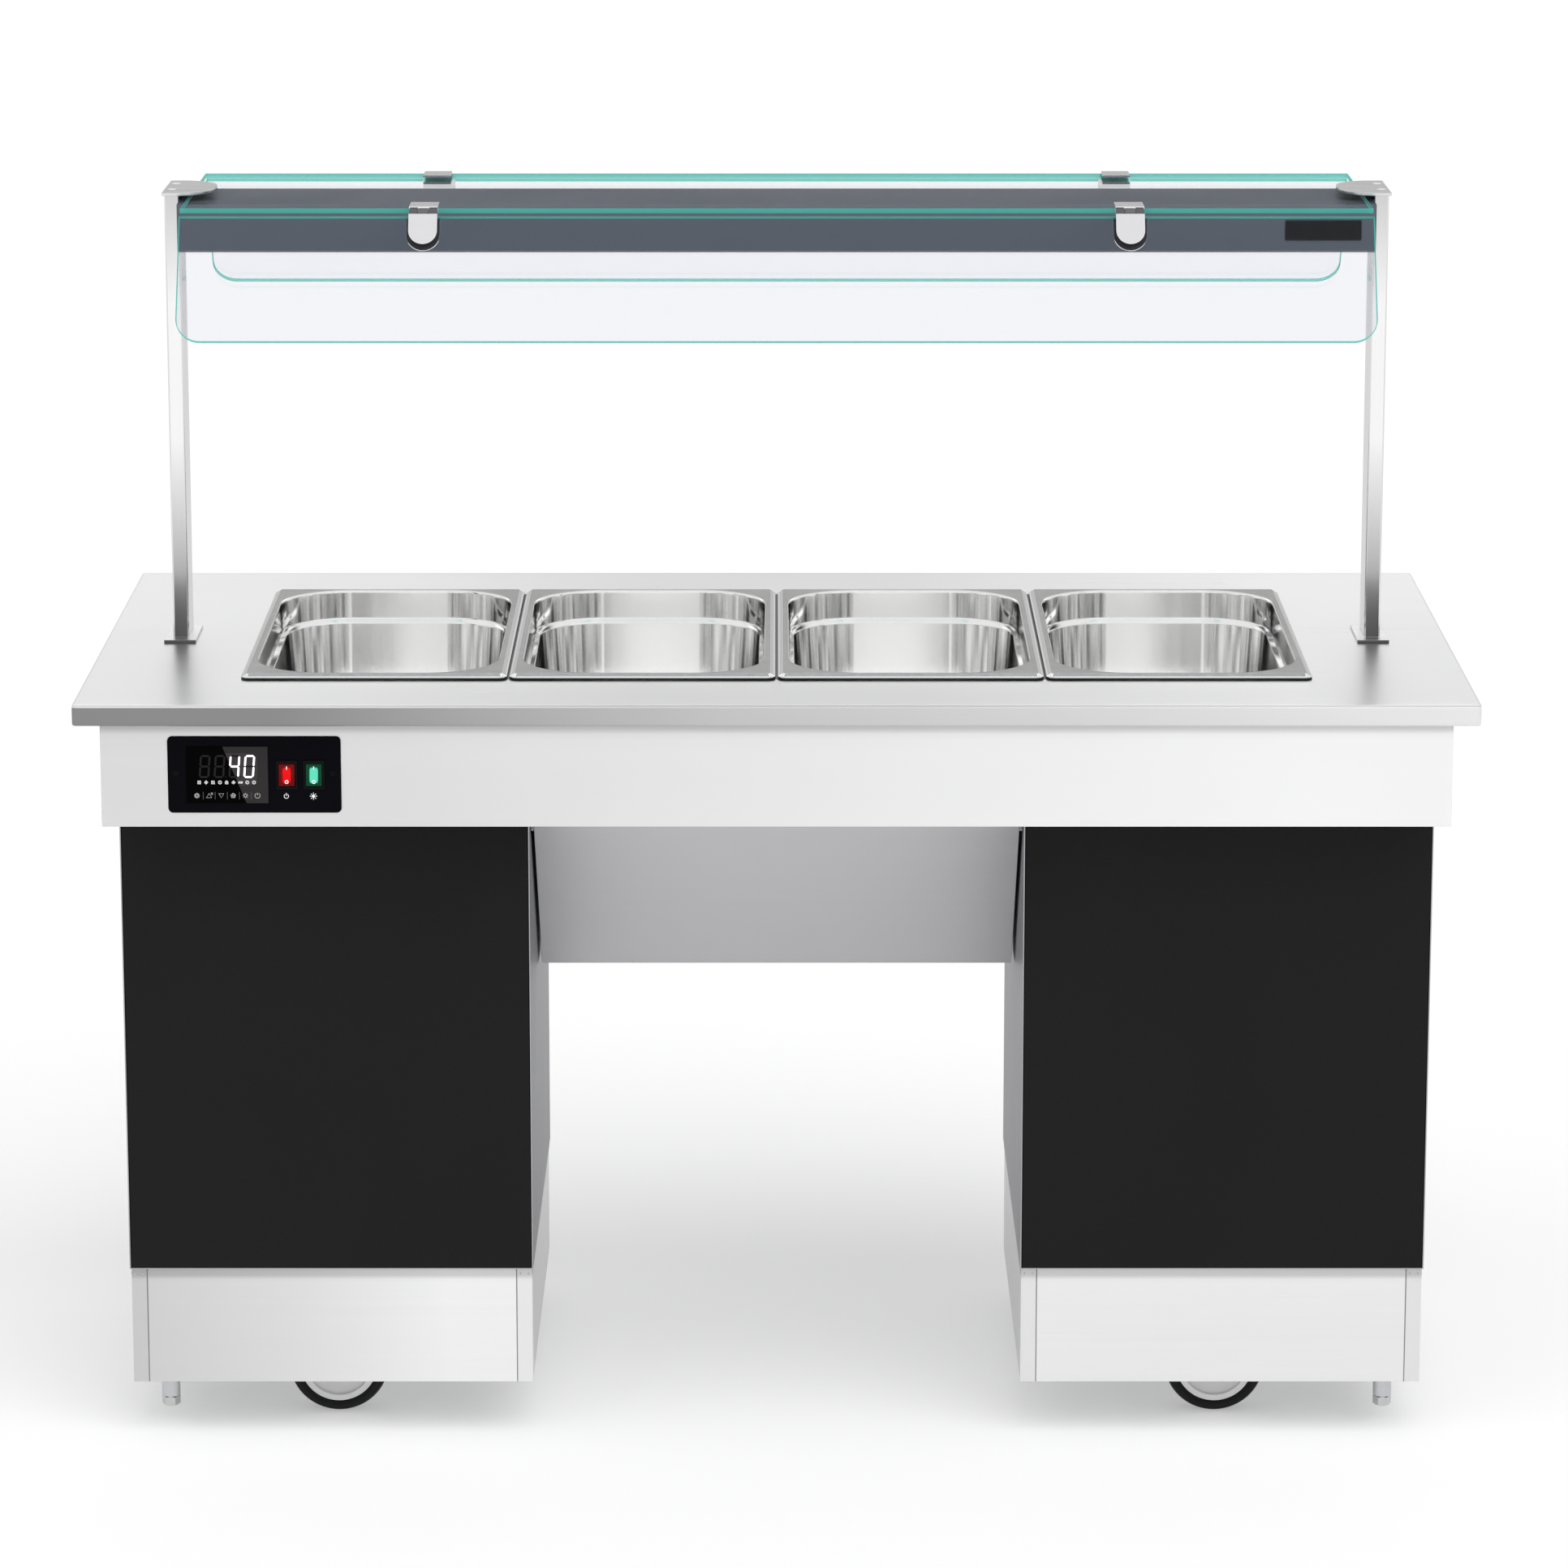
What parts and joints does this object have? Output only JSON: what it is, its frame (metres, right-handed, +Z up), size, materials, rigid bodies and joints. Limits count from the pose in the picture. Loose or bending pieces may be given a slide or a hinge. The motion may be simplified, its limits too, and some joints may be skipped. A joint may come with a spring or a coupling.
{
  "type": "hot buffet counter",
  "caption": "Stainless buffet counter with lift-out food pans in a heated well, a lit glass guard with hinged panes above, and panelled pedestals on casters below.",
  "frame": {"origin": "on the floor below the middle of the worktop", "axes": "+Z up, +X to the right seen from the control side, +Y away from it"},
  "size_m": [1.69, 0.81, 1.536],
  "materials": {
    "brushed_steel": "brushed stainless",
    "pan_steel": "satin pressed stainless",
    "zinc_steel": "zinc plated",
    "foot_steel": "bright plated",
    "hinge_chrome": "polished plated",
    "probe_metal": "machined",
    "board_aluminium": "white faced",
    "slate_paint": "satin powder coat",
    "black_board": "fine-textured black laminate",
    "clear_glass": "clear toughened, polished edges",
    "opal_plastic": "opal",
    "black_plastic": "satin black",
    "display_black": "gloss black window",
    "rocker_red": "translucent red",
    "rocker_green": "translucent green",
    "wheel_rubber": "grey moulded wheel",
    "pad_rubber": "clear soft pad",
    "heater_rubber": "silicone heating mat",
    "mineral_wool": "pressed wool board"
  },
  "bodies": {
    "counter": {"worktop": "brushed_steel", "upper_frame": "zinc_steel", "well_tub": "brushed_steel", "pan_bars": "brushed_steel", "heater_mats": "heater_rubber", "heater_tray": "zinc_steel", "insulation_board": "mineral_wool", "temperature_probe": "probe_metal", "front_apron": "brushed_steel", "rear_apron": "brushed_steel", "left_apron": "brushed_steel", "right_apron": "brushed_steel", "cable_gland": "black_plastic", "under_cover": "brushed_steel", "left_carcass": "brushed_steel", "right_carcass": "brushed_steel", "front_left_panel": "black_board", "front_right_panel": "black_board", "rear_left_panel": "black_board", "rear_right_panel": "black_board", "left_plinth": "brushed_steel", "right_plinth": "brushed_steel", "plinth_corners": "brushed_steel", "left_base_frame": "zinc_steel", "right_base_frame": "zinc_steel", "left_post": "brushed_steel", "right_post": "brushed_steel", "post_top_plates": "brushed_steel", "lamp_housing": "slate_paint", "lamp_diffuser": "opal_plastic", "led_boards": "board_aluminium", "top_glass": "clear_glass", "glass_pads": "pad_rubber", "fixed_hinge_leaves": "hinge_chrome", "control_fascia": "black_plastic", "display_module": "display_black", "switch_housings": "black_plastic", "caster_plates": "zinc_steel"},
    "pan_1": {"pan_1": "pan_steel"},
    "pan_2": {"pan_2": "pan_steel"},
    "pan_3": {"pan_3": "pan_steel"},
    "pan_4": {"pan_4": "pan_steel"},
    "front_flap": {"front_flap_glass": "clear_glass", "front_flap_leaves": "hinge_chrome"},
    "rear_flap": {"rear_flap_glass": "clear_glass", "rear_flap_leaves": "hinge_chrome"},
    "power_rocker": {"power_rocker": "rocker_red"},
    "light_rocker": {"light_rocker": "rocker_green"},
    "swivel_front_left": {"caster_fork_front_left": "zinc_steel"},
    "wheel_front_left": {"caster_wheel_front_left": "wheel_rubber"},
    "swivel_front_right": {"caster_fork_front_right": "zinc_steel"},
    "wheel_front_right": {"caster_wheel_front_right": "wheel_rubber"},
    "swivel_rear_left": {"caster_fork_rear_left": "zinc_steel"},
    "wheel_rear_left": {"caster_wheel_rear_left": "wheel_rubber"},
    "swivel_rear_right": {"caster_fork_rear_right": "zinc_steel"},
    "wheel_rear_right": {"caster_wheel_rear_right": "wheel_rubber"},
    "foot_front_left": {"foot_front_left": "foot_steel"},
    "foot_front_right": {"foot_front_right": "foot_steel"},
    "foot_rear_left": {"foot_rear_left": "foot_steel"},
    "foot_rear_right": {"foot_rear_right": "foot_steel"}
  },
  "joints": [
    {"name": "pan_1_lift", "type": "slide", "parent": "counter", "child": "pan_1", "axis": [0, 0, 1], "range_m": [0, 0.17]},
    {"name": "pan_2_lift", "type": "slide", "parent": "counter", "child": "pan_2", "axis": [0, 0, 1], "range_m": [0, 0.17]},
    {"name": "pan_3_lift", "type": "slide", "parent": "counter", "child": "pan_3", "axis": [0, 0, 1], "range_m": [0, 0.17]},
    {"name": "pan_4_lift", "type": "slide", "parent": "counter", "child": "pan_4", "axis": [0, 0, 1], "range_m": [0, 0.17]},
    {"name": "front_flap_hinge", "type": "hinge", "parent": "counter", "child": "front_flap", "pos_m": [0, -0.172, 1.528], "axis": [-1, 0, 0], "range_deg": [-12, 60]},
    {"name": "rear_flap_hinge", "type": "hinge", "parent": "counter", "child": "rear_flap", "pos_m": [0, 0.172, 1.528], "axis": [1, 0, 0], "range_deg": [-12, 60]},
    {"name": "power_rocker_tilt", "type": "hinge", "parent": "counter", "child": "power_rocker", "pos_m": [-0.5904, -0.377, 0.873], "axis": [1, 0, 0], "range_deg": [0, 16]},
    {"name": "light_rocker_tilt", "type": "hinge", "parent": "counter", "child": "light_rocker", "pos_m": [-0.5577, -0.377, 0.873], "axis": [1, 0, 0], "range_deg": [0, 16]},
    {"name": "swivel_front_left_turn", "type": "hinge", "parent": "counter", "child": "swivel_front_left", "pos_m": [-0.579, -0.1747, 0.131], "axis": [0, 0, 1], "continuous": true},
    {"name": "wheel_front_left_spin", "type": "hinge", "parent": "swivel_front_left", "child": "wheel_front_left", "pos_m": [-0.554, -0.1747, 0.0625], "axis": [0, 1, 0], "continuous": true},
    {"name": "swivel_front_right_turn", "type": "hinge", "parent": "counter", "child": "swivel_front_right", "pos_m": [0.579, -0.1747, 0.131], "axis": [0, 0, 1], "continuous": true},
    {"name": "wheel_front_right_spin", "type": "hinge", "parent": "swivel_front_right", "child": "wheel_front_right", "pos_m": [0.554, -0.1747, 0.0625], "axis": [0, 1, 0], "continuous": true},
    {"name": "swivel_rear_left_turn", "type": "hinge", "parent": "counter", "child": "swivel_rear_left", "pos_m": [-0.579, 0.1747, 0.131], "axis": [0, 0, 1], "continuous": true},
    {"name": "wheel_rear_left_spin", "type": "hinge", "parent": "swivel_rear_left", "child": "wheel_rear_left", "pos_m": [-0.554, 0.1747, 0.0625], "axis": [0, 1, 0], "continuous": true},
    {"name": "swivel_rear_right_turn", "type": "hinge", "parent": "counter", "child": "swivel_rear_right", "pos_m": [0.579, 0.1747, 0.131], "axis": [0, 0, 1], "continuous": true},
    {"name": "wheel_rear_right_spin", "type": "hinge", "parent": "swivel_rear_right", "child": "wheel_rear_right", "pos_m": [0.554, 0.1747, 0.0625], "axis": [0, 1, 0], "continuous": true},
    {"name": "foot_front_left_screw", "type": "slide", "parent": "counter", "child": "foot_front_left", "axis": [0, 0, -1], "range_m": [0, 0.025]},
    {"name": "foot_front_right_screw", "type": "slide", "parent": "counter", "child": "foot_front_right", "axis": [0, 0, -1], "range_m": [0, 0.025]},
    {"name": "foot_rear_left_screw", "type": "slide", "parent": "counter", "child": "foot_rear_left", "axis": [0, 0, -1], "range_m": [0, 0.025]},
    {"name": "foot_rear_right_screw", "type": "slide", "parent": "counter", "child": "foot_rear_right", "axis": [0, 0, -1], "range_m": [0, 0.025]}
  ]
}
